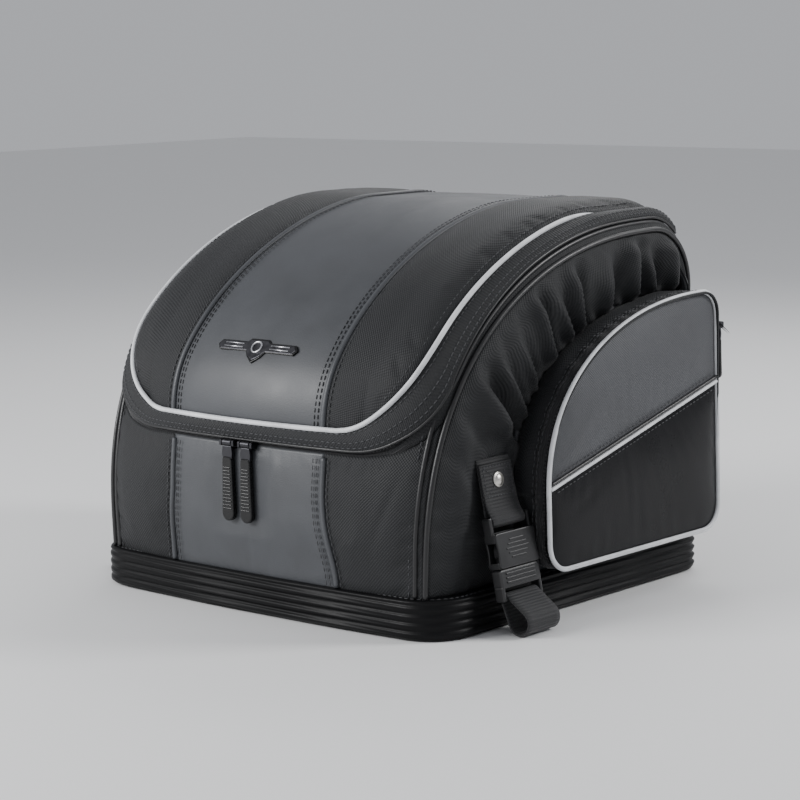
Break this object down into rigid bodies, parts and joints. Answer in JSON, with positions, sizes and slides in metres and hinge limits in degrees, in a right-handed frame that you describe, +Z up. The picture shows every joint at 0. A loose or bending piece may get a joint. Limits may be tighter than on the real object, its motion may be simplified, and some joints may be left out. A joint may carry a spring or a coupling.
{
  "type": "motorcycle tail bag",
  "caption": "Domed, zipped motorcycle tail bag with hinged lid, drop-down side pockets, sliding zip pulls, side-release strap buckles, backrest sleeve and carry handle.",
  "frame": {"origin": "middle of the flat base, at the height of its underside", "axes": "+Z up; -Y towards the rear of the motorcycle, where the main zip's pulls hang; +X its right-hand side"},
  "size_m": [0.4378, 0.3602, 0.3012],
  "materials": {
    "ballistic_nylon": "matt ballistic nylon weave",
    "smooth_vinyl": "satin smooth vinyl with a fine grain",
    "grip_base": "matt textured non-slip sheet",
    "base_binding": "satin ribbed vinyl binding",
    "floor_board": "lined stiff board",
    "black_piping": "satin vinyl piping",
    "silver_piping": "silver-grey reflective piping",
    "zipper_tape": "ribbed woven tape",
    "zipper_coil": "black nylon coil",
    "badge_metal": "worn chrome with black infill",
    "lining_mesh": "open polyester mesh",
    "webbing": "ribbed nylon webbing",
    "rivet_steel": "domed rivet cap",
    "handle_rubber": "matt moulded grip",
    "ring_steel": "bent steel wire",
    "slider_metal": "black enamelled slider",
    "pull_plastic": "glossy moulded pull",
    "buckle_plastic": "moulded acetal, fine grain"
  },
  "bodies": {
    "bag": {"base_panel": "grip_base", "base_band": "base_binding", "floor_board": "floor_board", "rear_panel_left": "ballistic_nylon", "rear_panel_right": "ballistic_nylon", "rear_center_panel": "smooth_vinyl", "side_panel_left": "ballistic_nylon", "side_panel_right": "ballistic_nylon", "front_panel": "ballistic_nylon", "backrest_sleeve": "ballistic_nylon", "side_piping_left": "black_piping", "side_piping_right": "black_piping", "zip_gusset_left": "ballistic_nylon", "zip_gusset_right": "ballistic_nylon", "rear_zip_tape": "zipper_tape", "zip_coil_body": "zipper_coil", "pocket_gusset_left": "ballistic_nylon", "pocket_gusset_right": "ballistic_nylon", "pocket_zipper_left": "zipper_tape", "pocket_zipper_right": "zipper_tape", "strap_tabs": "webbing", "tab_rivets": "rivet_steel", "front_anchors": "webbing"},
    "lid": {"lid_panel_left": "ballistic_nylon", "lid_panel_right": "ballistic_nylon", "lid_center_panel": "smooth_vinyl", "lid_piping": "silver_piping", "lid_flap": "ballistic_nylon", "lid_zip_tape": "zipper_tape", "zip_coil_lid": "zipper_coil", "lid_badge": "badge_metal", "mesh_pocket": "lining_mesh", "mesh_binding": "black_piping"},
    "handle": {"carry_handle": "handle_rubber"},
    "main_slider_left": {"main_slider_left": "slider_metal"},
    "main_pull_left": {"main_pull_left": "pull_plastic"},
    "pocket_door_left": {"pocket_upper_left": "ballistic_nylon", "pocket_lower_left": "smooth_vinyl", "pocket_piping_left": "silver_piping"},
    "pocket_slider_left": {"pocket_slider_left": "slider_metal"},
    "pocket_pull_left": {"pocket_pull_left": "pull_plastic"},
    "buckle_left": {"buckle_female_left": "buckle_plastic"},
    "clip_left": {"buckle_male_left": "buckle_plastic", "strap_loop_left": "webbing"},
    "prong_rear_left": {"prong_rear_left": "buckle_plastic"},
    "prong_front_left": {"prong_front_left": "buckle_plastic"},
    "ring_left": {"d_ring_left": "ring_steel"},
    "main_slider_right": {"main_slider_right": "slider_metal"},
    "main_pull_right": {"main_pull_right": "pull_plastic"},
    "pocket_door_right": {"pocket_upper_right": "ballistic_nylon", "pocket_lower_right": "smooth_vinyl", "pocket_piping_right": "silver_piping"},
    "pocket_slider_right": {"pocket_slider_right": "slider_metal"},
    "pocket_pull_right": {"pocket_pull_right": "pull_plastic"},
    "buckle_right": {"buckle_female_right": "buckle_plastic"},
    "clip_right": {"buckle_male_right": "buckle_plastic", "strap_loop_right": "webbing"},
    "prong_rear_right": {"prong_rear_right": "buckle_plastic"},
    "prong_front_right": {"prong_front_right": "buckle_plastic"},
    "ring_right": {"d_ring_right": "ring_steel"}
  },
  "joints": [
    {"name": "lid_hinge", "type": "hinge", "parent": "bag", "child": "lid", "pos_m": [0, 0.14453, 0.28453], "axis": [-1, 0, 0], "range_deg": [0, 85]},
    {"name": "handle_swing", "type": "hinge", "parent": "bag", "child": "handle", "pos_m": [0, 0.1621, 0.234], "axis": [1, 0, 0], "range_deg": [0, 150]},
    {"name": "main_zip_left", "type": "slide", "parent": "bag", "child": "main_slider_left", "axis": [-1, 0, 0], "range_m": [0, 0.105]},
    {"name": "main_pull_swing_left", "type": "hinge", "parent": "main_slider_left", "child": "main_pull_left", "pos_m": [-0.0145, -0.184, 0.131], "axis": [-1, 0, 0], "range_deg": [0, 150]},
    {"name": "pocket_door_left", "type": "hinge", "parent": "bag", "child": "pocket_door_left", "pos_m": [-0.205, 0.0415, 0.036], "axis": [0, -1, 0], "range_deg": [0, 85]},
    {"name": "pocket_zip_left", "type": "slide", "parent": "bag", "child": "pocket_slider_left", "axis": [0, 0, -1], "range_m": [0, 0.12]},
    {"name": "pocket_pull_swing_left", "type": "hinge", "parent": "pocket_slider_left", "child": "pocket_pull_left", "pos_m": [-0.194, 0.1644, 0.2], "axis": [1, 0, 0], "range_deg": [0, 150]},
    {"name": "strap_swing_left", "type": "hinge", "parent": "bag", "child": "buckle_left", "pos_m": [-0.18305, -0.097, 0.08104], "axis": [0, 1, 0], "range_deg": [0, 60]},
    {"name": "buckle_release_left", "type": "slide", "parent": "buckle_left", "child": "clip_left", "axis": [-0.2079, 0, -0.9781], "range_m": [0, 0.04]},
    {"name": "prong_rear_left", "type": "hinge", "parent": "clip_left", "child": "prong_rear_left", "pos_m": [-0.1911, -0.113, 0.048], "axis": [-0.9781, 0, 0.2079], "range_deg": [0, 5], "stiffness_Nm_per_rad": 0.05},
    {"name": "prong_front_left", "type": "hinge", "parent": "clip_left", "child": "prong_front_left", "pos_m": [-0.1911, -0.081, 0.048], "axis": [0.9781, 0, -0.2079], "range_deg": [0, 5], "stiffness_Nm_per_rad": 0.05},
    {"name": "ring_swing_left", "type": "hinge", "parent": "bag", "child": "ring_left", "pos_m": [-0.132, 0.1621, 0.236], "axis": [1, 0, 0], "range_deg": [0, 150]},
    {"name": "main_zip_right", "type": "slide", "parent": "bag", "child": "main_slider_right", "axis": [1, 0, 0], "range_m": [0, 0.105]},
    {"name": "main_pull_swing_right", "type": "hinge", "parent": "main_slider_right", "child": "main_pull_right", "pos_m": [0.0045, -0.184, 0.131], "axis": [-1, 0, 0], "range_deg": [0, 150]},
    {"name": "pocket_door_right", "type": "hinge", "parent": "bag", "child": "pocket_door_right", "pos_m": [0.205, 0.0415, 0.036], "axis": [0, 1, 0], "range_deg": [0, 85]},
    {"name": "pocket_zip_right", "type": "slide", "parent": "bag", "child": "pocket_slider_right", "axis": [0, 0, -1], "range_m": [0, 0.12]},
    {"name": "pocket_pull_swing_right", "type": "hinge", "parent": "pocket_slider_right", "child": "pocket_pull_right", "pos_m": [0.194, 0.1644, 0.2], "axis": [1, 0, 0], "range_deg": [0, 150]},
    {"name": "strap_swing_right", "type": "hinge", "parent": "bag", "child": "buckle_right", "pos_m": [0.18305, -0.097, 0.08104], "axis": [0, -1, 0], "range_deg": [0, 60]},
    {"name": "buckle_release_right", "type": "slide", "parent": "buckle_right", "child": "clip_right", "axis": [0.2079, 0, -0.9781], "range_m": [0, 0.04]},
    {"name": "prong_rear_right", "type": "hinge", "parent": "clip_right", "child": "prong_rear_right", "pos_m": [0.1911, -0.113, 0.048], "axis": [-0.9781, 0, -0.2079], "range_deg": [0, 5], "stiffness_Nm_per_rad": 0.05},
    {"name": "prong_front_right", "type": "hinge", "parent": "clip_right", "child": "prong_front_right", "pos_m": [0.1911, -0.081, 0.048], "axis": [0.9781, 0, 0.2079], "range_deg": [0, 5], "stiffness_Nm_per_rad": 0.05},
    {"name": "ring_swing_right", "type": "hinge", "parent": "bag", "child": "ring_right", "pos_m": [0.132, 0.1621, 0.236], "axis": [1, 0, 0], "range_deg": [0, 150]}
  ],
  "couplings": [
    {"joint": "prong_front_left", "follows": "prong_rear_left", "ratio": 1},
    {"joint": "prong_front_right", "follows": "prong_rear_right", "ratio": 1}
  ]
}
